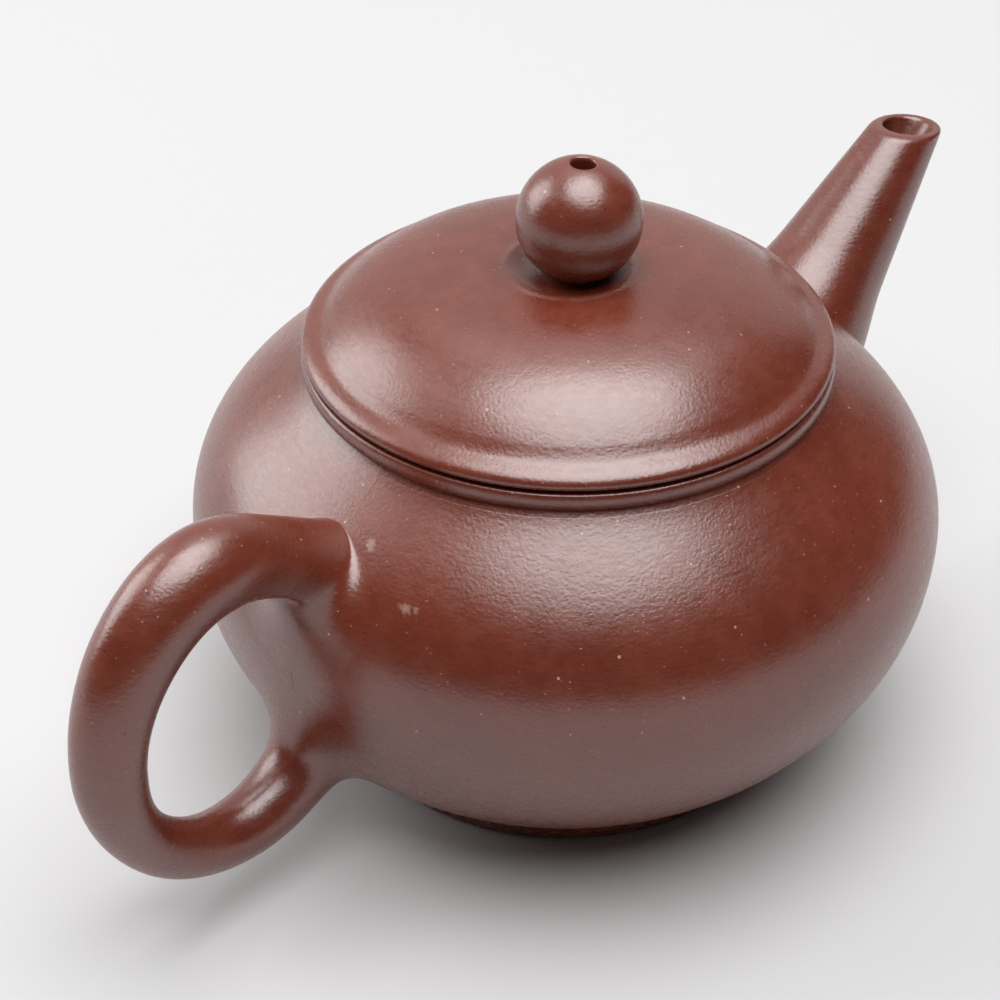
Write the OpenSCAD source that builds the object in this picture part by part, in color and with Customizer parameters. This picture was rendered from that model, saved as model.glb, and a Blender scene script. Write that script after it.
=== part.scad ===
// Yixing clay teapot of the level kind: spout tip, mouth and handle top stand at one height.
// The pot is put together as a potter does it, from separate pieces of clay luted to each other,
// and the lid lifts straight up out of the mouth.
// Origin: centre of the foot ring, on the surface that the pot stands on. +Z is up.
// +X points to the spout, -X to the handle.

/* [Body] */
// Largest diameter of the belly
body_d = 77.5; // [70:0.2:86]
// Height from the top of the foot ring to the widest part of the belly
belly_low_h = 23; // [20:0.1:26]
// Height from the widest part of the belly to the top of the shoulder
belly_up_h = 17.15; // [16:0.05:19]
// Thickness of the body's clay
wall = 2.6; // [2:0.1:3.4]
// Slope of the shoulder where it leaves the collar, in degrees below level
shoulder_slope = 43.5; // [36:0.5:52]
// How long the shoulder keeps that slope
shoulder_pull = 4.7; // [3.5:0.1:7]
// How far the belly stays upright above its widest part
belly_up_pull = 9.9; // [7:0.1:11]
// How far the belly stays upright below its widest part
belly_low_pull = 11.9; // [9:0.1:13]
// Slope of the belly where it meets the foot, in degrees above level
foot_slope = 43.5; // [36:0.5:50]
// How long the belly keeps that slope
foot_pull = 5.9; // [4:0.1:9]
// Thickness of the clay under the tea
base_t = 2.8; // [2.2:0.1:3.6]
// Height of the seam between base disc and belly wall above the foot ring
base_seam_h = 3.4; // [3:0.1:5]
// Drop from the top of the shoulder to the seam between shoulder disc and belly wall
shoulder_seam_drop = 4.6; // [4:0.1:6]

/* [Foot] */
// Outer diameter of the foot ring
foot_d = 51.6; // [48:0.2:54]
// Height of the foot ring
foot_h = 2.2; // [1.8:0.1:3]
// Width of the foot ring's clay
foot_w = 4; // [3:0.1:5]
// Rounding of the foot ring's lower edges
foot_round = 0.8; // [0.4:0.1:1]
// How far the base disc drops inside the foot ring
base_drop = 0.6; // [0.3:0.1:1]

/* [Mouth] */
// Diameter of the mouth opening
mouth_d = 44.4; // [41:0.2:46]
// Thickness of the clay between the mouth and the collar's groove
mouth_wall = 3.85; // [3.4:0.05:4.6]
// Height of the collar on the shoulder
collar_h = 0.6; // [0.4:0.1:1.2]
// How far the collar's foot spreads beyond its groove
collar_spread = 0.5; // [0.2:0.1:1]
// How far the mouth ring stands out beyond the groove
ring_out = 0.45; // [0.3:0.05:1]
// Height of the mouth ring
ring_h = 2.05; // [1.6:0.05:2.6]

/* [Lid] */
// How far the lid's edge stands inside the mouth ring's edge
lid_in = 0.15; // [0:0.05:0.6]
// Height of the rim where it starts to round over to its edge
rim_h = 1.25; // [1.1:0.05:1.6]
// Rounding of the rim's upper edge
rim_round = 0.7; // [0.4:0.1:0.9]
// Height of the rim where the dome stands on it
plate_t = 2.1; // [1.8:0.05:2.5]
// Width of the sloping band between the lid's edge and its dome
band_w = 2.15; // [1.8:0.05:2.8]
// Height of the dome above the rim's plate
dome_h = 5.8; // [5:0.1:7]
// Fullness of the dome: 2 gives a plain bowl, more gives a flatter top and a rounder shoulder
dome_full = 4; // [2.6:0.1:4.6]
// Thickness of the dome's clay
dome_t = 2.3; // [1.8:0.1:2.8]
// Diameter of the soft ridge round the knob
ridge_d = 12.3; // [10:0.2:15]
// Depth of the trough between the ridge and the knob
trough = 1.1; // [0.6:0.1:1.5]
// Gap between the lid's flange and the mouth
fit_gap = 0.4; // [0.3:0.05:0.7]
// Thickness of the flange
flange_t = 1.8; // [1.4:0.1:2.4]
// How deep the flange reaches into the mouth
flange_h = 5.6; // [4:0.1:8]

/* [Knob] */
// Diameter of the ball
knob_d = 11.75; // [10:0.1:13]
// Height of the ball's centre above its seat on the dome
knob_up = 6.6; // [6:0.1:7.6]
// Diameter of the knob's neck
knob_neck_d = 6; // [5:0.1:7]
// Diameter of the vent hole
vent_d = 2.5; // [2:0.1:3]
// Width of the softened edge round the vent
vent_edge = 0.35; // [0.2:0.05:0.6]
// How far the hand-set knob leans, in degrees
knob_lean = 2.5; // [0:0.5:6]
// How far the hand-set knob stands off the lid's centre
knob_shift = 0.6; // [0:0.1:1]
// Direction of lean and shift, in degrees from the spout
knob_dir = -48; // [-180:1:180]

/* [Spout] */
// How far the middle of the spout's mouth stands out from the belly
spout_out = 19.4; // [17:0.1:23]
// Height of the middle of the spout's mouth above the mouth ring
spout_rise = 2.1; // [0:0.1:3]
// Slope of the spout's axis, in degrees above level
spout_slope = 43.7; // [40:0.5:50]
// Diameter of the spout at its tip
spout_tip_d = 7.4; // [6.8:0.1:8.4]
// Angle between the spout's axis and its side, in degrees
spout_cone = 9.1; // [8:0.1:10.5]
// How much wider the spout's root is than its straight cone
spout_flare = 1.4; // [0.6:0.1:2.4]
// Length over which the root widens
spout_flare_l = 9; // [6:0.5:12]
// Tilt of the spout's mouth, in degrees down to the front
lip_tilt = 8; // [0:1:14]
// Diameter of the bore at the tip
bore_d = 5.1; // [4.8:0.1:5.4]
// Angle between the spout's axis and the side of its bore, in degrees
bore_cone = 5.7; // [4.6:0.1:6.8]

/* [Strainer] */
// Outer diameter of the strainer's dome
strainer_d = 16; // [15:0.2:18]
// Thickness of the strainer's clay
strainer_t = 1.4; // [1.1:0.1:1.8]
// How far the dome reaches past a half ball, into the wall, in degrees
strainer_lap = 30; // [24:1:36]
// Diameter of each strainer hole
hole_d = 1.6; // [1.2:0.1:1.9]
// Angle between rings of holes, in degrees
hole_step = 26; // [24:1:28]

/* [Handle] */
// How far the handle's outermost point stands out from the belly
handle_out = 20.4; // [18:0.1:23]
// Height of the handle's outermost point above the belly's widest part
handle_mid_up = 0.1; // [-2:0.1:3]
// How far the handle's highest point stands out from the belly
crown_out = 7.8; // [6.6:0.1:9.2]
// Height of the handle's highest point above the belly's widest part
crown_up = 16.65; // [15.6:0.05:17.6]
// How far the handle stays level between its highest point and the upper root
crown_in_pull = 4.4; // [3.6:0.1:5.4]
// How far the handle stays level beyond its highest point
crown_out_pull = 5.7; // [4.6:0.1:7.2]
// Height of the upper root above the belly's widest part
root_up = 10.5; // [9.6:0.1:11.4]
// Slope at which the upper root leaves the belly, in degrees above level
root_up_slope = 33; // [28:0.5:38]
// How long the upper root keeps that slope
root_up_pull = 7; // [5.8:0.1:8.2]
// Depth of the lower root below the belly's widest part
root_down = 11.1; // [10:0.1:12.2]
// Slope at which the lower root leaves the belly, in degrees below level
root_down_slope = 46.5; // [40:0.5:52]
// How long the lower root keeps that slope
root_down_pull = 14; // [12:0.1:16]
// How far the handle stays upright above its outermost point
handle_up_pull = 9.8; // [8.4:0.1:11.4]
// How far the handle stays upright below its outermost point
handle_down_pull = 13.2; // [11:0.1:15]
// Thickness of the handle at its upper root
handle_top_t = 8.3; // [7.6:0.1:9]
// Thickness of the handle at its highest point
handle_crown_t = 8.7; // [8:0.1:9.4]
// Thickness of the handle at its outermost point
handle_mid_t = 6.9; // [6.3:0.1:7.6]
// Thickness of the handle where it is thinnest, under its bend
handle_low_t = 5.7; // [5.2:0.1:6.6]
// Thickness of the handle at its lower root
handle_root_t = 7.7; // [7:0.1:8.6]
// How much the upper root swells where it spreads onto the belly, on its under side
root_up_flare = 3.6; // [1:0.1:4.4]
// How much the lower root swells where it spreads onto the belly
root_down_flare = 4.6; // [1:0.1:5.4]

/* [Smoothness] */
// Bands in each curve of the body
body_steps = 14; // [8:1:20]
// Bands in the dome of the lid
dome_steps = 16; // [10:1:24]
// Rings along each half of the handle
handle_rings = 26; // [18:1:34]
// Sides of the handle's section
handle_sides = 28; // [20:4:36]
// Bands in the dome of the strainer
strainer_steps = 12; // [8:1:16]

/* [Hidden] */
clay = "#6f4a43";
inner_clay = "#634039";
$fn = 96;
over = 1;
far = 200;

body_r = body_d / 2;
foot_r = foot_d / 2;
mouth_r = mouth_d / 2;
neck_r = mouth_r + mouth_wall;
ring_r = neck_r + ring_out;
lid_r = ring_r - lid_in;
dome_r = lid_r - band_w;
belly_z = foot_h + belly_low_h;
shoulder_z = belly_z + belly_up_h;
collar_top = shoulder_z + collar_h;
seat_z = collar_top + ring_h;
base_seam_z = foot_h + base_seam_h;
shoulder_seam_z = shoulder_z - shoulder_seam_drop;
base_under_z = foot_h - base_drop;
floor_z = base_under_z + base_t;
foot_in_r = foot_r - foot_w;

// Curves

function bezier(p, t) =
    pow(1 - t, 3) * p[0] + 3 * pow(1 - t, 2) * t * p[1]
    + 3 * (1 - t) * t * t * p[2] + t * t * t * p[3];
function bezier_way(p, t) =
    3 * pow(1 - t, 2) * (p[1] - p[0]) + 6 * (1 - t) * t * (p[2] - p[1])
    + 3 * t * t * (p[3] - p[2]);
function unit(v) = v / norm(v);
function left_of(v) = [-v[1], v[0]];
function points(p, n) = [for (i = [0:n]) bezier(p, i / n)];
function shifted(p, n, d) =
    [for (i = [0:n]) bezier(p, i / n) + d * left_of(unit(bezier_way(p, i / n)))];
function arc(centre, r, from, to, n) =
    [for (i = [0:n]) let (a = from + (to - from) * i / n) centre + r * [cos(a), sin(a)]];
function ease(x) = let (c = min(max(x, 0), 1)) c * c * (3 - 2 * c);

// Body of revolution: one curve from the foot to the belly and one from there to the collar

low_curve = [
    [foot_r, foot_h],
    [foot_r, foot_h] + foot_pull * [cos(foot_slope), sin(foot_slope)],
    [body_r, belly_z - belly_low_pull],
    [body_r, belly_z]
];
up_curve = [
    [body_r, belly_z],
    [body_r, belly_z + belly_up_pull],
    [neck_r + collar_spread, shoulder_z] + shoulder_pull * [cos(shoulder_slope), -sin(shoulder_slope)],
    [neck_r + collar_spread, shoulder_z]
];

module body_outline() {
    polygon(concat([[0, foot_h]], points(low_curve, body_steps), points(up_curve, body_steps),
        [[0, shoulder_z]]));
}

module cavity_outline() {
    low = shifted(low_curve, body_steps, wall);
    up = shifted(up_curve, body_steps, wall);
    roof_z = up[body_steps][1];
    intersection() {
        polygon(concat([[0, low[0][1]]], low, up, [[0, roof_z]]));
        translate([0, floor_z]) square([far, far]);
    }
    translate([0, belly_z]) square([mouth_r, far]);
}

module band(z0, z1) {
    translate([0, z0]) square([far, z1 - z0]);
}

module shell_piece(z0, z1) {
    rotate_extrude() difference() {
        intersection() {
            body_outline();
            band(z0, z1);
        }
        cavity_outline();
    }
}

module body_mass() {
    rotate_extrude() body_outline();
}

// Spout: a cone about a sloping axis, drawn along +Z with its tip at zero and its root below

spout_tip = [body_r + spout_out, 0, seat_z + spout_rise];
spout_l = spout_out / cos(spout_slope);
spout_root_l = spout_l + body_r / 4 / cos(spout_slope);
throat_d = bore_d + 2 * tan(bore_cone) * spout_l;

function spout_r(s) =
    spout_tip_d / 2 + tan(spout_cone) * min(s, spout_l)
    + spout_flare / 2 * ease((s - spout_l + spout_flare_l) / spout_flare_l);

module along_spout() {
    translate(spout_tip) rotate([0, 90 - spout_slope, 0]) children();
}

module spout_solid() {
    steps = 14;
    top = spout_tip_d;
    rotate_extrude() polygon(concat([[0, top], [spout_r(-top), top]],
        [for (i = [0:steps]) let (s = spout_root_l * i / steps) [spout_r(s), -s]],
        [[0, -spout_root_l]]));
}

module spout_bore() {
    deep = spout_root_l + over;
    high = spout_tip_d + over;
    grow = 2 * tan(bore_cone);
    translate([0, 0, -deep])
        cylinder(h = deep + high, d1 = bore_d + grow * deep, d2 = bore_d - grow * high);
}

module lip_cut() {
    translate(spout_tip) rotate([0, lip_tilt, 0])
        translate([-far / 2, -far / 2, 0]) cube([far, far, far / 4]);
}

// Strainer: a pierced half ball that stands on the inside of the wall, round the spout's throat

strainer_s = spout_l + wall / cos(spout_slope) * 0.9;

module along_strainer() {
    along_spout() translate([0, 0, -strainer_s]) children();
}

module strainer_holes() {
    reach = strainer_d;
    for (ring = [0:2]) {
        count = ring == 0 ? 1 : 6 * ring;
        for (i = [0:count - 1])
            rotate([0, 0, (i + ring / 2) * 360 / count]) rotate([180 - hole_step * ring, 0, 0])
                cylinder(h = reach, d = hole_d, $fn = 24);
    }
}

// Handle: a round section swept along two curves, from inside the wall at each root

function radius_at(z, i = 0) =
    let (c = concat(points(low_curve, 40), points(up_curve, 40)))
    i >= len(c) - 2 || c[i + 1][1] >= z
    ? c[i][0] + (c[i + 1][0] - c[i][0]) * (z - c[i][1]) / max(c[i + 1][1] - c[i][1], 0.001)
    : radius_at(z, i + 1);

root_up_z = belly_z + root_up;
root_down_z = belly_z - root_down;
handle_r = body_r + handle_out;
handle_z = belly_z + handle_mid_up;
crown = [body_r + crown_out, belly_z + crown_up];
outmost = [handle_r, handle_z];
up_way = [cos(root_up_slope), sin(root_up_slope)];
down_way = [cos(root_down_slope), -sin(root_down_slope)];
up_root = [radius_at(root_up_z), root_up_z];
down_root = [radius_at(root_down_z), root_down_z];
// From the upper root over the crown to the outermost point, then down to the lower root
handle_rise_curve = [up_root, up_root + root_up_pull * up_way, crown - [crown_in_pull, 0], crown];
handle_bend_curve = [crown, crown + [crown_out_pull, 0], outmost + [0, handle_up_pull], outmost];
handle_fall_curve = [outmost, outmost - [0, handle_down_pull],
    down_root + root_down_pull * down_way, down_root];
up_flare_part = 0.2;
down_flare_part = 0.15;

// The thickness swells where each root spreads onto the belly
function up_spread(u) = root_up_flare * pow(max(0, 1 - u / up_flare_part), 2);
function down_spread(u) = root_down_flare * pow(max(0, 1 - (1 - u) / down_flare_part), 2);
function handle_size(u) = up_spread(u) + down_spread(u) + (
    u < 0.25 ? handle_top_t + (handle_crown_t - handle_top_t) * ease(u / 0.25)
    : u < 0.5 ? handle_crown_t + (handle_mid_t - handle_crown_t) * ease((u - 0.25) / 0.25)
    : u < 0.65 ? handle_mid_t + (handle_low_t - handle_mid_t) * ease((u - 0.5) / 0.15)
    : handle_low_t + (handle_root_t - handle_low_t) * ease((u - 0.65) / 0.35));
// The upper root swells to its under side alone, so its middle line moves down by half of it
function station(curve, t, u) = let (way = unit(bezier_way(curve, t)))
    [bezier(curve, t) - up_spread(u) / 2 * left_of(way), way, handle_size(u)];

// Each station is [place, direction, thickness]; the first and last lie inside the wall
root_sink = handle_top_t;
rise_rings = round(handle_rings / 2);
up_start = station(handle_rise_curve, 0, 0);
handle_stations = concat(
    [[up_start[0] - root_sink * up_way, up_way, handle_size(0)]],
    [for (i = [0:rise_rings - 1]) station(handle_rise_curve, i / rise_rings, i / rise_rings / 4)],
    [for (i = [0:rise_rings]) station(handle_bend_curve, i / rise_rings, 0.25 + i / rise_rings / 4)],
    [for (i = [1:handle_rings]) station(handle_fall_curve, i / handle_rings,
        0.5 + i / handle_rings / 2)],
    [[down_root + handle_root_t / 2 * unit([-1, 0.3]), unit([-1, 0.3]), handle_size(1)]]
);

module sweep(stations, sides) {
    count = len(stations);
    corners = [for (s = stations) for (k = [0:sides - 1])
        let (a = 360 * k / sides, p = s[0] + s[2] / 2 * cos(a) * left_of(s[1]))
        [-p[0], s[2] / 2 * sin(a), p[1]]];
    walls = [for (j = [0:count - 2]) for (k = [0:sides - 1])
        let (n = (k + 1) % sides, a = j * sides + k, b = j * sides + n)
        each [[a, b + sides, b], [a, a + sides, b + sides]]];
    ends = [[for (k = [0:sides - 1]) k],
        [for (k = [0:sides - 1]) count * sides - 1 - k]];
    polyhedron(points = corners, faces = concat(walls, ends), convexity = 6);
}

// Lid

plate_z = seat_z + plate_t;
ridge_r = ridge_d / 2;
knob_neck_r = knob_neck_d / 2;
flange_r = mouth_r - fit_gap;
flange_in_r = flange_r - flange_t;

// Height of a dome of the given height and foot radius above its foot, r from the middle
function dome_rise(r, h, foot) = h * (1 - pow(r / foot, dome_full));
function dome_z(r) =
    plate_z + dome_rise(r, dome_h, dome_r)
    - trough * (0.5 + 0.5 * cos(180 * min(max((r - seat_r) / (ridge_r - seat_r), 0), 1)));
seat_r = knob_neck_r + knob_shift + 0.3;
knob_seat_z = dome_z(seat_r);

module dome_outline() {
    rim_side = [for (i = [0:dome_steps]) let (r = dome_r + (ridge_r - dome_r) * i / dome_steps)
        [r, dome_z(r)]];
    trough_side = [for (i = [1:6]) let (r = ridge_r + (seat_r - ridge_r) * i / 6)
        [r, dome_z(r)]];
    polygon(concat([[0, plate_z]], rim_side, trough_side, [[0, knob_seat_z]]));
}

// The dome's hollow starts at the flange's inner face
module dome_hollow() {
    polygon(concat([[0, plate_z - over], [flange_in_r, plate_z - over]],
        [for (i = [dome_steps:-1:0]) let (r = flange_in_r * i / dome_steps)
            [r, plate_z + dome_rise(r, dome_h - dome_t, flange_in_r)]]));
}

module at_knob() {
    rotate([0, 0, knob_dir]) translate([knob_shift, 0, knob_seat_z])
        rotate([0, knob_lean, 0]) children();
}

module vent() {
    top = knob_up + sqrt(pow(knob_d / 2, 2) - pow(vent_d / 2, 2));
    deep = dome_h + dome_t;
    translate([0, 0, -deep]) cylinder(h = deep + top + over, d = vent_d);
    translate([0, 0, top - vent_edge]) cylinder(h = vent_edge + over, d1 = vent_d,
        d2 = vent_d + 2 * vent_edge + 2 * over);
}

// Pieces of the pot

module belly_wall() color(clay) difference() {
    shell_piece(base_seam_z, shoulder_seam_z);
    along_spout() translate([0, 0, -strainer_s - wall])
        cylinder(h = strainer_s + wall, d = throat_d);
}

module shoulder_disc() color(clay) shell_piece(shoulder_seam_z, shoulder_z);

module base_disc() color(clay) rotate_extrude() {
    difference() {
        intersection() {
            body_outline();
            band(foot_h, base_seam_z);
        }
        cavity_outline();
    }
    translate([0, base_under_z]) square([foot_in_r, base_t]);
}

module foot_ring() color(clay) rotate_extrude() {
    inner = foot_in_r + foot_round;
    outer = foot_r - foot_round;
    polygon(concat([[foot_r, foot_h], [foot_in_r, foot_h]],
        arc([inner, foot_round], foot_round, 180, 270, 6),
        arc([outer, foot_round], foot_round, 270, 360, 6)));
}

module neck_collar() color(clay) rotate_extrude() {
    polygon(concat([[mouth_r, collar_top], [mouth_r, shoulder_z]],
        [for (i = [0:5]) let (t = i / 5)
            [neck_r + collar_spread * pow(1 - t, 2), shoulder_z + collar_h * t]]));
}

module mouth_ring() color(clay) rotate_extrude() {
    bulge = ring_r - neck_r;
    polygon(concat([[mouth_r, seat_z], [mouth_r, collar_top]],
        [for (i = [0:10]) let (a = -90 + 180 * i / 10)
            [neck_r + bulge * cos(a), collar_top + ring_h * (0.5 + 0.5 * sin(a))]]));
}

module spout() color(clay) difference() {
    along_spout() spout_solid();
    body_mass();
    along_spout() spout_bore();
    lip_cut();
}

module spout_strainer() color(inner_clay) difference() {
    intersection() {
        along_strainer() rotate_extrude()
            polygon(concat(arc([0, 0], strainer_d / 2, -90, strainer_lap, strainer_steps),
                arc([0, 0], strainer_d / 2 - strainer_t, strainer_lap, -90, strainer_steps)));
        rotate_extrude() cavity_outline();
    }
    along_strainer() strainer_holes();
}

module handle() color(clay) difference() {
    sweep(handle_stations, handle_sides);
    body_mass();
}

// Pieces of the lid

module lid_rim() color(clay) rotate_extrude() {
    edge_z = seat_z + rim_h;
    polygon(concat([[flange_in_r, plate_z], [flange_in_r, seat_z],
        [lid_r - rim_round / 2, seat_z], [lid_r, seat_z + rim_round / 2]],
        arc([lid_r - rim_round, edge_z - rim_round], rim_round, 0, 60, 4),
        [[dome_r, plate_z]]));
}

module lid_dome() color(clay) difference() {
    rotate_extrude() difference() {
        dome_outline();
        dome_hollow();
    }
    at_knob() vent();
}

module lid_flange() color(clay) rotate_extrude() {
    polygon([[flange_in_r, seat_z], [flange_in_r, seat_z - flange_h],
        [flange_r - flange_t / 4, seat_z - flange_h], [flange_r, seat_z - flange_h + flange_t / 2],
        [flange_r, seat_z]]);
}

module knob() color(clay) difference() {
    at_knob() rotate_extrude() difference() {
        union() {
            translate([0, knob_up]) circle(d = knob_d);
            translate([0, -over]) square([knob_neck_r * 0.94, knob_up]);
            polygon([[0, -over], [knob_neck_r + 0.3, -over], [knob_neck_r, 0.35],
                [knob_neck_r * 0.94, 1.1], [0, 1.1]]);
        }
        translate([-far, -far / 2]) square([far, far]);
    }
    at_knob() vent();
    translate([-far / 2, -far / 2, knob_seat_z - far]) cube([far, far, far]);
}

belly_wall();
shoulder_disc();
base_disc();
foot_ring();
neck_collar();
mouth_ring();
spout();
spout_strainer();
handle();
lid_rim();
lid_dome();
lid_flange();
knob();
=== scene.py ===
"""The look of a yixing clay teapot, laid over its CAD solids in their frame.

Shapes are worked out in mm and become metres in mesh_object. Turned pieces are drawn as lines of
(radius, height). The spout points along +x and the handle along -x.
"""

import math

import bmesh
import bpy
import numpy as np
from mathutils import Matrix, Vector


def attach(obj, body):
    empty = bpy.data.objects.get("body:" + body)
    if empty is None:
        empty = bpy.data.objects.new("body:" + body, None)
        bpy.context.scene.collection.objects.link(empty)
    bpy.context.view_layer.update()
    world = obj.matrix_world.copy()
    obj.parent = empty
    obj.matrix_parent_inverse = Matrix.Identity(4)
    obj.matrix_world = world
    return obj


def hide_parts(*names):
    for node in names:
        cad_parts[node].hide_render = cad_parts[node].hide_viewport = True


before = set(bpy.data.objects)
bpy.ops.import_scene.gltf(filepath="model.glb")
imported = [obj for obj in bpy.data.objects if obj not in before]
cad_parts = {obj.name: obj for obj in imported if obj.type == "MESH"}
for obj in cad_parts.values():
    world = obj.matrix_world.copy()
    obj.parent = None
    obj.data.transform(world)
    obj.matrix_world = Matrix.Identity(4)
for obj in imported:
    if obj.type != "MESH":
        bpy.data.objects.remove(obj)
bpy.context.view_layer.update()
MM = 0.001
TAU = 2 * math.pi


# ---------------------------------------------------------------- points, lines and curves


def bezier(p, t):
    p = np.asarray(p, float)
    t = np.asarray(t, float)[..., None]
    return (
        (1 - t) ** 3 * p[0]
        + 3 * (1 - t) ** 2 * t * p[1]
        + 3 * (1 - t) * t**2 * p[2]
        + t**3 * p[3]
    )


def bezier_way(p, t):
    """The same curve's direction, of any length."""
    p = np.asarray(p, float)
    t = np.asarray(t, float)[..., None]
    return (
        3 * (1 - t) ** 2 * (p[1] - p[0])
        + 6 * (1 - t) * t * (p[2] - p[1])
        + 3 * t**2 * (p[3] - p[2])
    )


def chain(draw, *parts):
    """Curves end to end. draw is bezier or bezier_way, each part a curve and its steps."""
    rows = [draw(curve, t) for curve, t in parts]
    return np.vstack(rows[:1] + [row[1:] for row in rows[1:]])


def unit(v):
    v = np.asarray(v, float)
    return v / np.maximum(np.linalg.norm(v, axis=-1, keepdims=True), 1e-12)


def ease(x):
    """A smooth step from 0 at x = 0 to 1 at x = 1."""
    x = np.clip(x, 0, 1)
    return x * x * (3 - 2 * x)


def heading(a):
    """The unit direction at an angle in degrees."""
    return np.array([math.cos(math.radians(a)), math.sin(math.radians(a))])


def arc(centre, r, start, end, n):
    a = np.radians(np.linspace(start, end, n + 1))
    return np.column_stack([centre[0] + r * np.cos(a), centre[1] + r * np.sin(a)])


def corner(a, b, c, t):
    """A point on the rounding that leads from a past the corner b to c, at t from 0 to 1."""
    return (1 - t) ** 2 * a + 2 * t * (1 - t) * b + t * t * c


def crossing(d, *lines):
    """Where d first falls below 0: the index past that place, and each line's point there."""
    j = int(np.argmax(d < 0))
    f = d[j - 1] / (d[j - 1] - d[j])
    return j, *(line[j - 1] + (line[j] - line[j - 1]) * f for line in lines)


def along_line(s, run, line):
    """The points of a line at the places s, where run gives the place of each of its points."""
    return np.column_stack([np.interp(s, run, line[:, c]) for c in range(3)])


def resample(points, step):
    """The same line with points about a step apart, its corners kept."""
    points = np.asarray(points, float)
    out = [points[:1]]
    for a, b in zip(points[:-1], points[1:]):
        n = max(1, int(math.ceil(np.linalg.norm(b - a) / step)))
        out.append(a + (b - a) * (np.arange(1, n + 1) / n)[:, None])
    return np.vstack(out)


def rounded(points, radii, n=6):
    """A line whose inner corners are rounded, each by its own radius."""
    points = np.asarray(points, float)
    out = [points[0]]
    for i in range(1, len(points) - 1):
        a, b, c = points[i - 1], points[i], points[i + 1]
        if radii[i] <= 0:
            out.append(b)
            continue
        la, lc = np.linalg.norm(a - b), np.linalg.norm(c - b)
        cut = min(radii[i], la * 0.49, lc * 0.49)  # two roundings never meet on a side
        p, q = b + (a - b) / la * cut, b + (c - b) / lc * cut
        out += [corner(p, b, q, t) for t in np.linspace(0, 1, n + 1)]
    out.append(points[-1])
    return np.array(out)


def smooth_line(points, step):
    """A Catmull-Rom curve through points, at about the given step."""
    p = np.asarray(points, float)
    p = np.vstack([2 * p[0] - p[1], p, 2 * p[-1] - p[-2]])

    def mixed(a, b, ta, tb, t):
        return (tb - t) / (tb - ta) * a + (t - ta) / (tb - ta) * b

    out = []
    for a, b, c, d in zip(p, p[1:], p[2:], p[3:]):
        ta = 1.0
        tb = ta + np.linalg.norm(b - a) ** 0.5
        tc = tb + np.linalg.norm(c - b) ** 0.5
        td = tc + np.linalg.norm(d - c) ** 0.5
        n = max(1, int(math.ceil(np.linalg.norm(c - b) / step)))
        for t in tb + (tc - tb) * np.arange(n) / n:
            ab, bc, cd = mixed(a, b, ta, tb, t), mixed(b, c, tb, tc, t), mixed(c, d, tc, td, t)
            out.append(mixed(mixed(ab, bc, ta, tc, t), mixed(bc, cd, tb, td, t), tb, tc, t))
    out.append(p[-2])
    return np.array(out)


def smooth_through(u, knots):
    """A smooth value through the given (place, value) pairs."""
    x, y = np.array(knots, float).T
    slope = np.gradient(y, x)
    k = np.clip(np.searchsorted(x, u, side="right") - 1, 0, len(x) - 2)
    h = x[k + 1] - x[k]
    t = (u - x[k]) / h
    return (
        (1 + 2 * t) * (1 - t) ** 2 * y[k]
        + t * (1 - t) ** 2 * h * slope[k]
        + t * t * (3 - 2 * t) * y[k + 1]
        + t * t * (t - 1) * h * slope[k + 1]
    )


# ---------------------------------------------------------------- sizes, in mm

BODY_R, BELLY_Z = 38.75, 25.2  # the belly's widest round
FOOT_R, FOOT_H, FOOT_W, FOOT_ROUND = 25.8, 2.2, 4.0, 0.8
SHOULDER_Z, SEAT_Z = 42.35, 45.0  # the shoulder's edge, and the ring's top, on which the lid rests
NECK_R, RING_R, MOUTH_R = 26.05, 26.5, 22.2
COLLAR_H, SPREAD = 0.6, 0.5  # how far the collar's foot spreads beyond the neck
WALL, FLOOR_Z, UNDER_Z = 2.6, 4.4, 1.6  # FLOOR_Z and UNDER_Z: the base's upper and under side

# The belly's line as two curves. Their slopes are in degrees, their pulls are the lengths of the
# curves' handles.
FOOT_SLOPE, FOOT_PULL, BELLY_LOW_PULL = 43.5, 5.9, 11.9
SHOULDER_SLOPE, SHOULDER_PULL, BELLY_UP_PULL = 43.5, 4.7, 9.9
WIDEST = np.array([BODY_R, BELLY_Z])
FOOT_EDGE = np.array([FOOT_R, FOOT_H])
SHOULDER_EDGE = np.array([NECK_R + SPREAD, SHOULDER_Z])
LOW_CURVE = [
    FOOT_EDGE,
    FOOT_EDGE + FOOT_PULL * heading(FOOT_SLOPE),
    WIDEST - [0, BELLY_LOW_PULL],
    WIDEST,
]
UP_CURVE = [
    WIDEST,
    WIDEST + [0, BELLY_UP_PULL],
    SHOULDER_EDGE + SHOULDER_PULL * heading(-SHOULDER_SLOPE),
    SHOULDER_EDGE,
]
STEPS = np.linspace(0, 1, 241)
BODY_LINE = chain(bezier, (LOW_CURVE, STEPS), (UP_CURVE, STEPS))
# its direction from foot to shoulder, and the wall's inner side
BODY_WAY = unit(chain(bezier_way, (LOW_CURVE, STEPS), (UP_CURVE, STEPS)))
INNER_LINE = BODY_LINE + WALL * np.column_stack([-BODY_WAY[:, 1], BODY_WAY[:, 0]])


def belly_r(z):
    return np.interp(z, BODY_LINE[:, 1], BODY_LINE[:, 0])


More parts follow.
